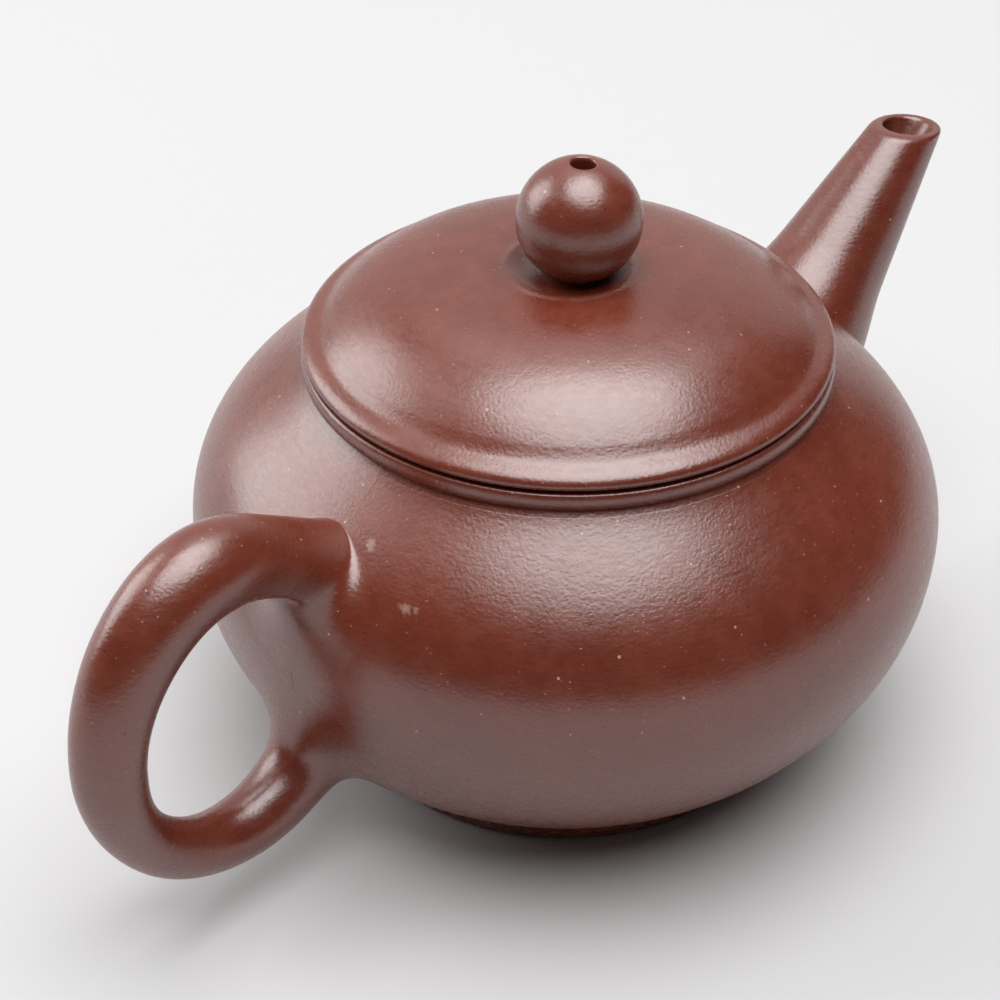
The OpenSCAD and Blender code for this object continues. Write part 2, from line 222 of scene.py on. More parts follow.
def on_body(p):
    """The nearest point of the belly's surface, its outward normal and the signed distance."""
    p = np.atleast_2d(np.asarray(p, float))
    r = np.hypot(p[:, 0], p[:, 1])
    rz = np.column_stack([r, p[:, 2]])
    k = np.linalg.norm(rz[:, None] - BODY_LINE[None], axis=2).argmin(1)
    best, way = BODY_LINE[k], BODY_WAY[k]
    along = ((rz - best) * way).sum(1)
    # past the line's ends its last point stays the nearest
    best = best + way * along[:, None] * (np.abs(along) < 1)[:, None]
    normal = np.column_stack([way[:, 1], -way[:, 0]])
    dist = ((rz - best) * normal).sum(1)

    def turned(v):
        return np.column_stack([v[:, 0] * (p[:, 0] / r), v[:, 0] * (p[:, 1] / r), v[:, 1]])

    return turned(best), turned(normal), dist


# ---------------------------------------------------------------- meshes


def placed(name, data):
    """A new object in the scene."""
    obj = bpy.data.objects.new(name, data)
    bpy.context.scene.collection.objects.link(obj)
    return obj


def mesh_object(name, verts, faces, sharp=60):
    """A smooth piece from points in mm. Edges bent more than sharp, in degrees, stay sharp."""
    mesh = bpy.data.meshes.new(name)
    mesh.from_pydata((np.asarray(verts, float) * MM).tolist(), [], faces)
    mesh.validate()
    mesh.shade_smooth()
    mesh.set_sharp_from_angle(angle=math.radians(sharp))
    return placed(name, mesh)


def grid_faces(rows, cols, wrap_rows=False, flip=False):
    """The faces between rings of points; wrap_rows joins the last ring to the first."""
    out = []
    for j in range(rows if wrap_rows else rows - 1):
        a, b = j * cols, ((j + 1) % rows) * cols
        for k in range(cols):
            n = (k + 1) % cols
            f = [a + k, a + n, b + n, b + k]
            out.append(f[::-1] if flip else f)
    return out


def lathe(name, line, sides=192, closed=False, hand=None, sharp=60, step=0.6):
    """A turned piece. hand(points) moves the points a little, as a hand does."""
    line = resample(np.vstack([line, line[:1]]) if closed else line, step)
    if closed:
        line = line[:-1]
    a = np.arange(sides) * TAU / sides
    verts = np.stack(
        [
            line[:, None, 0] * np.cos(a)[None],
            line[:, None, 0] * np.sin(a)[None],
            np.repeat(line[:, 1][:, None], sides, 1),
        ],
        axis=2,
    ).reshape(-1, 3)
    if hand is not None:
        verts = hand(verts)
    return mesh_object(name, verts, grid_faces(len(line), sides, closed), sharp)


# ---------------------------------------------------------------- camera

# Fitted to the photograph, in metres
CAMERA = (-0.12532, -0.11284, 0.15169)
LOOK = Vector((0.57107, 0.55726, -0.60277)).normalized()
RIGHT = Vector((0.6972, -0.71687, -0.0022)).normalized()


def frame_matrix(x, y, z, place):
    """The matrix with the given axes and place."""
    return Matrix((*((x[i], y[i], z[i], place[i]) for i in range(3)), (0, 0, 0, 1)))


def add_camera():
    data = bpy.data.cameras.new("Camera")
    data.lens, data.sensor_width, data.sensor_fit = 72.0, 36.0, "AUTO"
    data.clip_start, data.clip_end = 0.01, 20
    cam = placed("Camera", data)
    right = (RIGHT - LOOK * RIGHT.dot(LOOK)).normalized()
    cam.matrix_world = frame_matrix(right, right.cross(LOOK).normalized(), -LOOK, CAMERA)
    bpy.context.scene.camera = cam


add_camera()

# ---------------------------------------------------------------- the hand's unevenness

WAVES_EACH = 14
RNG = np.random.default_rng(7)
WAVES = [
    (RNG.normal(size=(WAVES_EACH, 3)) * f, RNG.uniform(0, TAU, WAVES_EACH), a)
    for f, a in ((0.045, 1.0), (0.11, 0.45), (0.26, 0.16))
]
UNEVEN = 0.07  # how far the belly wanders in and out
# The side of the belly that came out a little fuller: its direction, by how much, and where
FULL_SIDE, FULL_BY, FULL_Z, FULL_SPAN = math.radians(134), 0.34, 12.0, 7.0


def drift(p):
    """A smooth random field over space, about -1 to 1. p in mm."""
    out = np.zeros(len(p))
    for k, phase, a in WAVES:
        out += a * np.sin(p @ k.T + phase[None]).sum(1) / math.sqrt(WAVES_EACH / 2)
    return out / 1.1  # the spread of the three bands together


def hand_shift(v):
    """How far the hand-pressed belly stands out of its even shape, level outwards, in mm."""
    r = np.maximum(np.hypot(v[:, 0], v[:, 1]), 1e-6)
    out = np.column_stack([v[:, 0] / r, v[:, 1] / r, np.zeros(len(v))])
    # both fade out towards the foot, and the wandering towards the shoulder's edge too
    wander = UNEVEN * drift(v) * (ease((v[:, 2] - 3.0) / 8.0) * ease((SHOULDER_Z - v[:, 2]) / 5.0))
    side = np.cos(np.arctan2(v[:, 1], v[:, 0]) - FULL_SIDE)
    full = FULL_BY * ease(side) * np.exp(-(((v[:, 2] - FULL_Z) / FULL_SPAN) ** 2))
    return out * (wander + full * ease((v[:, 2] - FOOT_H) / 5.0))[:, None]


def along_with_belly(v, reach=7.0):
    """The same points, moved as the belly under them moves, fading out away from it."""
    dist = on_body(v)[2]
    return v + hand_shift(v) * ease(1 - np.maximum(dist, 0) / reach)[:, None]


# ---------------------------------------------------------------- the pot's turned pieces


def open_throat(mesh):
    """Cuts the spout's bore through both faces of the belly's wall."""
    cut = bmesh.new()
    cut.from_mesh(mesh)
    gone = []
    for face in cut.faces:
        p = np.array(face.calc_center_median()) / MM - SPOUT_TIP
        s = p @ S_AXIS
        off_axis = np.linalg.norm(p - s * S_AXIS)
        if THROAT_FROM < s < THROAT_TO and off_axis < bore_radius(s) - 0.1:
            gone.append(face)
    bmesh.ops.delete(cut, geom=gone, context="FACES")
    cut.to_mesh(mesh)
    cut.free()


def add_pot_skin():
    """Base disc, belly wall and shoulder disc, luted and smoothed into one skin."""
    low = FOOT_H + 0.01
    outer = BODY_LINE[(BODY_LINE[:, 1] > low) & (BODY_LINE[:, 1] < SHOULDER_Z)]
    keep = (INNER_LINE[:, 1] > FLOOR_Z + 0.6) & (INNER_LINE[:, 0] > MOUTH_R + 0.4)
    inner = INNER_LINE[keep][::-1]
    mouth_low, floor_r = inner[0][1], inner[-1][0]
    base_r = FOOT_R - FOOT_W + 0.4  # the base runs a little way into the foot ring
    line = np.vstack(
        [
            [[0.0, UNDER_Z], [base_r, UNDER_Z], [base_r, FOOT_H], [belly_r(low), low]],
            outer,
            [[belly_r(SHOULDER_Z), SHOULDER_Z], [MOUTH_R, SHOULDER_Z]],
            [[MOUTH_R, mouth_low + 0.5], [MOUTH_R + 0.15, mouth_low + 0.1]],
            inner,
            [[floor_r - 1.0, FLOOR_Z + 0.16], [floor_r - 2.6, FLOOR_Z], [0.0, FLOOR_Z]],
        ]
    )
    skin = lathe("belly_skin", line, sides=224, hand=lambda v: v + hand_shift(v), sharp=50)
    open_throat(skin.data)
    return skin


def add_foot():
    inside, r = FOOT_R - FOOT_W, FOOT_ROUND
    line = np.vstack(
        [
            [[inside, FOOT_H + 0.3]],
            arc([inside + r, r], r, 180, 270, 6),
            arc([FOOT_R - r, r], r, 270, 360, 6),
            # the top edge, tucked under the belly
            [[FOOT_R, FOOT_H - 0.35], [FOOT_R + 0.03, FOOT_H], [FOOT_R - 0.4, FOOT_H + 0.2]],
            [[FOOT_R - FOOT_W / 2, FOOT_H + 0.8]],
        ]
    )
    return lathe("foot", line, sides=192, closed=True, sharp=40)


def add_mouth():
    """The collar's cove, the bead of the mouth ring over it and the flat that carries the lid."""
    lap, seat, bead_h = 0.5, SEAT_Z - 0.01, 1.75
    t = np.linspace(0, 1, 7)
    cove = np.column_stack([NECK_R + SPREAD * (1 - t) ** 1.25, SHOULDER_Z + COLLAR_H * t])
    a = np.radians(np.linspace(-90, 90, 13))
    bead_z = SHOULDER_Z + COLLAR_H + bead_h * (0.5 + 0.5 * np.sin(a))
    ring = np.column_stack([NECK_R + (RING_R - NECK_R) * np.cos(a), bead_z])
    line = np.vstack(
        [
            [[MOUTH_R, SHOULDER_Z - lap], [NECK_R + 0.1, SHOULDER_Z - lap]],
            cove,
            ring[1:-1],
            [[NECK_R - 0.55, SEAT_Z - 0.28], [NECK_R - 0.6, seat]],
            [[MOUTH_R + 0.5, seat], [MOUTH_R + 0.15, SEAT_Z - 0.14], [MOUTH_R, SEAT_Z - 0.5]],
        ]
    )
    return lathe("mouth_ring_piece", line, sides=224, closed=True, sharp=50, step=0.3)


# ---------------------------------------------------------------- handle and spout, luted on


def in_plane(v, normal):
    """The unit direction of v within the plane that normal stands on."""
    flat = v - normal * (v @ normal)
    return flat / np.linalg.norm(flat)


def fillet_onto_body(path, reach, bow=0.55, lead=1.25, n=24, straight=90, sink=0.012):
    """Carries each line of a swept piece smoothly onto the belly.

    path is rings x sides x 3, from outside towards the belly. reach gives, for each side, how far
    from the crossing the fillet ends on the belly; it starts lead times as far up the line. bow is
    the pull of its curve, and sink how far its end goes under the surface. Returns the rings up to
    the fillet's end: `straight` rings on the lines themselves, then n rings of the fillet.
    """
    rings, sides, _ = path.shape
    centre = path.mean(axis=1)
    dist = on_body(path.reshape(-1, 3))[2].reshape(rings, sides)
    out = np.zeros((straight + n, sides, 3))
    for k in range(sides):
        line = path[:, k]
        j, cross, mid = crossing(dist[:, k], line, centre)
        near, normal, _ = (x[0] for x in on_body(cross))
        away = in_plane(cross - mid, normal)
        foot, foot_normal, _ = (x[0] for x in on_body(near + away * reach[k]))
        back = in_plane(near - foot, foot_normal)
        run = np.concatenate([[0], np.cumsum(np.linalg.norm(np.diff(line[:j], axis=0), axis=1))])
        # the fillet starts here, at least half a millimetre down the line
        want = max(run[-1] + np.linalg.norm(cross - line[j - 1]) - reach[k] * lead, 0.5)
        i = max(0, min(int(np.searchsorted(run, want)) - 1, len(run) - 2))
        g = (want - run[i]) / (run[i + 1] - run[i])
        start = line[i] + (line[i + 1] - line[i]) * g
        pull = np.linalg.norm(start - foot) * bow
        out_way = unit(line[i + 1] - line[i])
        curve = [start, start + out_way * pull, foot + back * pull, foot - foot_normal * sink]
        out[:straight, k] = along_line(np.linspace(0, want, straight), run, line[:j])
        out[straight:, k] = bezier(curve, np.linspace(0, 1, n + 1))[1:]
    return out


# The handle's middle line leaves the belly at the upper root, climbs to its crown, bends to its
# outermost point and comes back to the lower root. Each curve: start, two pulls and end.
CROWN = WIDEST + [7.8, 16.65]
OUTMOST = WIDEST + [20.4, 0.1]
UP_ROOT_Z, DOWN_ROOT_Z = BELLY_Z + 10.5, BELLY_Z - 11.1
UP_ROOT = np.array([belly_r(UP_ROOT_Z), UP_ROOT_Z])
DOWN_ROOT = np.array([belly_r(DOWN_ROOT_Z), DOWN_ROOT_Z])
H_RISE = [UP_ROOT, UP_ROOT + 7.0 * heading(32.8), CROWN - [4.4, 0], CROWN]
H_BEND = [CROWN, CROWN + [5.7, 0], OUTMOST + [0, 9.8], OUTMOST]
H_FALL = [OUTMOST, OUTMOST - [0, 13.2], DOWN_ROOT + 14.0 * heading(-46.5), DOWN_ROOT]
# Part of the way along the handle, and its thickness there
HANDLE_THICK = [
    (0.0, 8.45), (0.12, 8.0), (0.25, 8.75), (0.36, 8.25), (0.5, 6.9),
    (0.62, 5.72), (0.72, 5.95), (0.82, 6.4), (0.91, 7.0), (1.0, 7.7),
]


def handle_rings(sides=72, each=120, extra=14):
    """The handle's rings from root to root, and the angle of each side round them."""
    t, t2 = np.linspace(0, 1, each + 1), np.linspace(0, 1, each // 2 + 1)
    parts = (H_RISE, t2), (H_BEND, t2), (H_FALL, t)
    mid, way = chain(bezier, *parts), unit(chain(bezier_way, *parts))
    u = np.concatenate([t2 / 4, 0.25 + t2[1:] / 4, 0.5 + t[1:] / 2])
    size = smooth_through(u, HANDLE_THICK)
    # both ends run on into the wall by extra rings
    more = np.linspace(11, 0.4, extra)[:, None]
    mid = np.vstack([mid[:1] - way[:1] * more, mid, mid[-1:] + way[-1:] * more[::-1]])
    size = np.concatenate([np.repeat(size[0], extra), size, np.repeat(size[-1], extra)])
    way = np.vstack([np.repeat(way[:1], extra, 0), way, np.repeat(way[-1:], extra, 0)])
    left = np.column_stack([-way[:, 1], way[:, 0]])
    a = np.arange(sides) * TAU / sides
    # a round section, a little fuller above, below and at both sides
    square = 1 + 0.018 * np.cos(4 * a)
    half = size[:, None] / 2
    pr = mid[:, None, 0] + half * (np.cos(a) * square)[None] * left[:, None, 0]
    pz = mid[:, None, 1] + half * (np.cos(a) * square)[None] * left[:, None, 1]
    py = half * (np.sin(a) * square)[None] * np.ones_like(pr)
    return np.stack([-pr, py, pz], axis=2), a


def softened(path, keep, times):
    """Evens out each line of a swept piece and its neighbours, less where keep is near 1."""
    free = (1 - keep)[:, None, None]
    for _ in range(times):
        along = path.copy()
        along[1:-1] = 0.25 * path[:-2] + 0.5 * path[1:-1] + 0.25 * path[2:]
        across = 0.25 * np.roll(along, 1, 1) + 0.5 * along + 0.25 * np.roll(along, -1, 1)
        path = path + free * (0.85 * along + 0.15 * across - path)
    return path


def add_handle():
    rings, a = handle_rings()
    half = len(rings) // 2
    # inner is 0 on the outer side of the loop, where the upper root meets the belly in a crisp
    # crease, and 1 on its inner side; there, and all round the lower root, the fillets are broad
    inner = 1 - (0.5 + 0.5 * np.cos(a))
    up = fillet_onto_body(rings[half::-1], 0.28 + 8.8 * inner**1.4, lead=1.15)
    down = fillet_onto_body(rings[half:], 4.0 + 3.6 * inner**2, lead=1.2)
    near = np.linspace(0, 1, len(down))
    down = softened(down, 1 - ease((near - 0.5) / 0.2) * ease((1 - near) / 0.08), times=8)
    path = np.vstack([up[::-1], down[1:]])
    rows, sides, _ = path.shape
    v = path.reshape(-1, 3)
    middle = np.repeat(path.mean(axis=1), sides, 0)
    # the roll's own unevenness, fading out over the roots
    root = ease((BODY_R - np.hypot(v[:, 0], v[:, 1])) / 3)
    v = v + unit(v - middle) * (0.05 * drift(v * 1.6) * (1 - root))[:, None]
    return mesh_object("handle_loop", along_with_belly(v), grid_faces(rows, sides, flip=True), 70)


SPOUT_OUT, SPOUT_RISE = 19.4, 2.1  # the tip, from the belly's widest and from the mouth ring's top
SPOUT_TIP = np.array([BODY_R + SPOUT_OUT, 0, SEAT_Z + SPOUT_RISE])
SPOUT_SLOPE, LIP_TILT = math.radians(43.7), math.radians(8)
S_AXIS = np.array([-math.cos(SPOUT_SLOPE), 0, -math.sin(SPOUT_SLOPE)])  # from tip to root
S_SIDE = np.array([0, 1, 0])
S_TOP = np.cross(S_AXIS, S_SIDE)
S_LENGTH = SPOUT_OUT / math.cos(SPOUT_SLOPE)  # from the tip to over the belly's widest
LIP_N = np.array([math.sin(LIP_TILT), 0, math.cos(LIP_TILT)])
# Radii at the tip, how they grow along the axis, and the spout's flare towards its root
SPOUT_R, SPOUT_CONE, FLARE, FLARE_L = 3.7, 0.1602, 0.7, 9
BORE_R, BORE_CONE, BORE_END = 2.55, 0.0998, 34.4
THROAT_FROM, THROAT_TO = 20, 42  # the bore's axis meets the wall here, and farther on the floor


def spout_radius(s):
    """The spout's outer radius at a distance s from its tip, along its axis."""
    flare = FLARE * ease((s - S_LENGTH + FLARE_L) / FLARE_L)
    return SPOUT_R + SPOUT_CONE * np.minimum(s, S_LENGTH) + flare


def bore_radius(s):
    return BORE_R + BORE_CONE * s


def round_axis(s, r, a):
    """Points at distances s along the spout's axis and r from it, at angles a from its top."""
    ring = np.cos(a)[..., None] * S_TOP + np.sin(a)[..., None] * S_SIDE
    return SPOUT_TIP + s[..., None] * S_AXIS + r[..., None] * ring


def spout_lines(radius, s_to, rows, a):
    s = np.linspace(-7, s_to, rows)[:, None]
    return round_axis(s, radius(s), a[None])


def at_lip(lines):
    """For each side, the point where its line crosses the lip's plane, and its direction."""
    d = ((lines - SPOUT_TIP) * LIP_N).sum(2)
    hit, way = np.zeros(lines.shape[1:]), np.zeros(lines.shape[1:])
    for k in range(lines.shape[1]):
        j, hit[k] = crossing(d[:, k], lines[:, k])
        way[k] = unit(lines[j, k] - lines[j - 1, k])
    return hit, way


def add_spout(sides=96, rows=120, s_end=44):
    """The outer side down to its fillet on the belly, the rounded lip and the bore."""
    a = np.arange(sides) * TAU / sides
    outer = spout_lines(spout_radius, s_end, 260, a)
    o_hit, o_way = at_lip(outer)
    i_hit, i_way = at_lip(spout_lines(bore_radius, 34, 200, a))
    round_o, round_i = 0.75, 0.5
    top, inside = o_hit + o_way * round_o, i_hit + i_way * round_i
    path = np.zeros((rows, sides, 3))
    for k in range(sides):
        s = np.linspace((top[k] - SPOUT_TIP) @ S_AXIS, s_end, rows)
        path[:, k] = along_line(s, (outer[:, k] - SPOUT_TIP) @ S_AXIS, outer[:, k])
    body = fillet_onto_body(path, 2.0 + 0.5 * np.cos(a) ** 2, bow=0.5)
    across = unit(i_hit - o_hit)
    gap = np.linalg.norm(i_hit - o_hit, axis=1)[:, None]
    flat_o = o_hit + across * np.minimum(round_o, gap * 0.5)
    flat_i = i_hit - across * np.minimum(round_i, gap * 0.45)
    lip = [corner(top, o_hit, flat_o, t) for t in np.linspace(0, 1, 9)[:-1]]
    lip += [corner(flat_i, i_hit, inside, t) for t in np.linspace(0, 1, 8)]
    s0 = (inside - SPOUT_TIP) @ S_AXIS
    deep = []
    for t in np.linspace(0, 1, 40)[1:]:
        s = s0 + (BORE_END - s0) * t
        deep.append(round_axis(s, bore_radius(s), a))
    path = np.concatenate([body[::-1][:-1], np.array(lip), np.array(deep)])
    faces = grid_faces(len(path), sides)
    return mesh_object("spout_cone", along_with_belly(path.reshape(-1, 3)), faces, 55)


# ---------------------------------------------------------------- traces of the making

# Their points on the belly, how thick they are and how uneven
SLIP_LINES = {
    "seam_line": ([(-26.6, -1.1, 42.3), (-28.4, -0.9, 40.8), (-30.8, -1.3, 39.1)], 0.07, 0.3),
    "pressed_line": ([(-38.4, -0.9, 30.5), (-38.7, -0.9, 26.0), (-38.6, -1.0, 21.0)], 0.07, 0.2),
}


def bead(name, points, r, rough):
    """A fine raised line of slip lying on the belly through the given points."""
    line = resample(points, 0.25)
    for _ in range(12):
        line[1:-1] = 0.25 * line[:-2] + 0.5 * line[1:-1] + 0.25 * line[2:]
    base, out, _ = on_body(line)
    line = base + hand_shift(base)
    side = unit(np.cross(unit(np.gradient(line, axis=0)), out))
    # full in the middle and pointed at the ends
    t = np.linspace(0, 1, len(line))
    size = r * np.sqrt(t * t[::-1] * 4 + 0.02)
    size = size * (1 + rough * drift(line * 9))
    a = np.arange(8) * TAU / 8
    turn = np.cos(a)[None, :, None] * side[:, None] + 0.5 * np.sin(a)[None, :, None] * out[:, None]
    rings = line[:, None] + size[:, None, None] * turn
    return mesh_object(name, rings.reshape(-1, 3), grid_faces(len(line), 8), 70)


# ---------------------------------------------------------------- lid

LID_R, DOME_R, PLATE_Z, VENT_HOLE_R = 26.35, 24.2, 47.1, 1.6
DOME_H, DOME_T, DOME_FULL = 5.8, 2.3, 4.0
FLANGE_R, FLANGE_T, FLANGE_H = 21.8, 1.8, 5.6
HOLLOW_R = FLANGE_R - FLANGE_T
# The sloping band of the lid's edge, from its seat up: how far inside LID_R, how far above SEAT_Z
BAND = [
    (0.75, 0), (0.28, 0.06), (0.05, 0.26), (0, 0.52), (0.1, 0.82), (0.36, 1.12),
    (0.8, 1.4), (1.35, 1.64), (1.85, 1.86), (2.2, 2.12), (2.6, 2.48),
]
# The solids have a trough round the knob. Here it is a shallower dish, and the knob stays as deep.
TROUGH, DISH, DISH_R = 1.1, 0.45, 4.3
RIDGE_R, RIDGE_H, RIDGE_W = 6.15, 0.17, 0.42
# The knob: where it is seated, how it leans and its sizes
KNOB_DIR, KNOB_LEAN, KNOB_SHIFT, KNOB_SEAT_R = math.radians(-48), math.radians(2.5), 0.6, 3.9
BALL_R, BALL_UP, KNOB_NECK_R, VENT_R, KNOB_ROOT = 6.13, 6.2, 2.85, 1.2, -1.35


def dome_z(r):
    r = np.asarray(r, float)
    dish = DISH * (1 - ease((r - DISH_R) / (RIDGE_R - DISH_R)))
    ridge = RIDGE_H * np.exp(-(((r - RIDGE_R - 0.05) / RIDGE_W) ** 2))
    return PLATE_Z + DOME_H * (1 - (r / DOME_R) ** DOME_FULL) - dish + ridge


def lid_hand(v):
    """The lid's points with the hand's unevenness, which spares the knob's seat and the rim."""
    r = np.hypot(v[:, 0], v[:, 1])
    out = v.copy()
    out[:, 2] += 0.045 * drift(v * 1.3) * ease((r - 4) / 4) * ease((LID_R - 2 - r) / 3)
    return out


def add_lid_top():
    """The rim's under side, the sloping band, the dome and the hollow under it."""
    # two runs of points, the closer one over the ridge and the dish round the knob
    dome_r = np.linspace(DOME_R - 0.9, 7.4, 60), np.linspace(7.25, VENT_HOLE_R, 56)
    dome_r = np.concatenate(dome_r)
    band = [[LID_R - inside, SEAT_Z + up] for inside, up in BAND]
    top = np.vstack([band, np.column_stack([dome_r, dome_z(dome_r)])])
    under_r = np.linspace(VENT_HOLE_R, HOLLOW_R, 40)
    hollow = (DOME_H - DOME_T) * (1 - (under_r / HOLLOW_R) ** DOME_FULL)
    under = np.column_stack([under_r, PLATE_Z + hollow])
    whole = np.vstack([[[HOLLOW_R, SEAT_Z]], smooth_line(top, 0.3), under])
    return lathe("lid_cover", whole, sides=256, closed=True, hand=lid_hand, sharp=50, step=0.35)


def add_flange():
    r0, r1, z0, z1 = HOLLOW_R, FLANGE_R, SEAT_Z - FLANGE_H, SEAT_Z + 0.3
    upper, lower = [[r0 + 0.9, z1], [r0, z1]], [[r0, z0], [r1 - 0.45, z0], [r1, z0 + 0.9]]
    outer = [[r1, z1], [r1 - 0.1, z1]]
    line = rounded(upper + lower + outer, [0, 0, 0.5, 0.4, 0.5, 0, 0], 5)
    return lathe("lid_flange_piece", line, sides=192, closed=True, sharp=60, step=0.5)


def add_knob():
    """Root, skirt, neck and ball with the vent through them, from the seat up."""
    ball_top = BALL_UP + math.sqrt(BALL_R**2 - (VENT_R + 0.3) ** 2)
    low = -math.degrees(math.acos((KNOB_NECK_R + 0.12) / BALL_R))
    high = math.degrees(math.acos((VENT_R + 0.3) / BALL_R))
    ball = arc([0, BALL_UP], BALL_R, low, high, 60)
    t = np.linspace(0, 1, 10)
    skirt = bezier([[3.7, 0.5], [3.2, 0.62], [KNOB_NECK_R, 0.66], [KNOB_NECK_R, 0.76]], t)
    throat = [[KNOB_NECK_R, 0.76], [KNOB_NECK_R, 0.8], ball[0] - [0.06, 0.02], ball[0]]
    line = np.vstack(
        [
            [[VENT_R, KNOB_ROOT], [3.2, KNOB_ROOT], [3.8, 0.1]],
            skirt,
            bezier(throat, t)[1:-1],
            ball,
            [[VENT_R + 0.12, ball_top], [VENT_R + 0.02, ball_top - 0.16]],
            [[VENT_R, ball_top - 0.4]],
        ]
    )
    knob = lathe("knob_ball", line, sides=128, closed=True, sharp=60, step=0.25)
    seat_z = float(dome_z(KNOB_SEAT_R)) - (TROUGH - DISH)
    knob.data.transform(
        Matrix.Rotation(KNOB_DIR, 4, "Z")
        @ Matrix.Translation((KNOB_SHIFT * MM, 0, seat_z * MM))
        @ Matrix.Rotation(KNOB_LEAN, 4, "Y")
    )
    return knob


# ---------------------------------------------------------------- materials


class Nodes:
    """A short way to write node trees. An input is named by its label, or by its place as _0."""

    def __init__(self, name):
        self.mat = bpy.data.materials.new(name)
        self.mat.use_nodes = True
        self.tree = self.mat.node_tree
        self.tree.nodes.clear()

    def add(self, kind, props=None, **inputs):
        node = self.tree.nodes.new(kind)
        for k, v in (props or {}).items():
            setattr(node, k, v)
        for k, v in inputs.items():
            self.put(node, k, v)
        return node

    def put(self, node, key, value):
        socket = node.inputs[int(key[1:]) if key[0] == "_" else key]
        if isinstance(value, bpy.types.NodeSocket):
            self.tree.links.new(value, socket)
        else:
            socket.default_value = value

    def math(self, op, a, b=0.0, c=0.0):
        n = self.add("ShaderNodeMath", {"operation": op}, _0=a, _1=b)
        if op == "MULTIPLY_ADD":
            self.put(n, "_2", c)
        return n.outputs[0]

    def vector_math(self, op, *inputs):
        named = {f"_{i}": value for i, value in enumerate(inputs)}
        return self.add("ShaderNodeVectorMath", {"operation": op}, **named).outputs

    def range(self, v, a, b, c=0.0, d=1.0, kind="SMOOTHSTEP"):
        """v carried from the range a to b into the range c to d."""
        n = self.add("ShaderNodeMapRange", {"interpolation_type": kind})
        for k, x in (("Value", v), ("From Min", a), ("From Max", b), ("To Min", c), ("To Max", d)):
            self.put(n, k, x)
        return n.outputs[0]

    def noise(self, at, scale, detail=3.0, rough=0.5):
        n = self.add("ShaderNodeTexNoise", Scale=scale, Detail=detail, Roughness=rough, Vector=at)
        return n.outputs["Fac"]

    def mix(self, fac, a, b):
        n = self.add("ShaderNodeMix", {"data_type": "RGBA", "blend_type": "MIX"})
        n.clamp_factor = True
        self.put(n, "_0", fac)
        self.put(n, "_6", a)
        self.put(n, "_7", b)
        return n.outputs[2]

    def dots(self, at, scale, gate, small, large):
        """Scattered small spots: 1 inside a spot, 0 between them. Fewer as gate nears 1."""
        cells = self.add("ShaderNodeTexVoronoi", {"feature": "F1"}, Vector=at, Scale=scale)
        chance = self.add("ShaderNodeSeparateColor", _0=cells.outputs["Color"])
        here = self.math("GREATER_THAN", chance.outputs[0], gate)
        reach = self.range(chance.outputs[1], 0.0, 1.0, small, large, "LINEAR")
        spot = self.math("LESS_THAN", cells.outputs["Distance"], reach)
        return self.math("MULTIPLY", spot, here)

    def stretched(self, at, scale):
        n = self.add("ShaderNodeMapping", {"vector_type": "POINT"}, Vector=at, Scale=scale)
        return n.outputs[0]

    def surface(self, bsdf):
        out = self.add("ShaderNodeOutputMaterial")
        self.tree.links.new(bsdf.outputs[0], out.inputs[0])
        return self.mat


def srgb(*rgb):
    """The linear colour, with alpha, of an sRGB colour in steps of 255."""
    rgb = [c / 255 for c in rgb]
    return (*(c / 12.92 if c <= 0.04045 else ((c + 0.055) / 1.055) ** 2.4 for c in rgb), 1)


DARK, WARM, REDDER = srgb(98, 38, 23), srgb(110, 46, 28), srgb(134, 67, 47)
# PIT_SHADE: painted shade, the dark put into the tiny pits of the skin
GRAIN, PIT_SHADE, DRIED = srgb(205, 168, 156), srgb(46, 20, 14), srgb(190, 160, 150)
SHEEN_IOR = 1.85  # above that of clay: it stands for the shine of the burnished skin
# Dried traces of slip by the upper root: their places and sizes, in mm
SMEARS = [(-31.2, -4.4, 38.5, 0.75), (-32.8, -10.7, 35.6, 0.8), (-32.4, -11.6, 35.6, 0.45)]


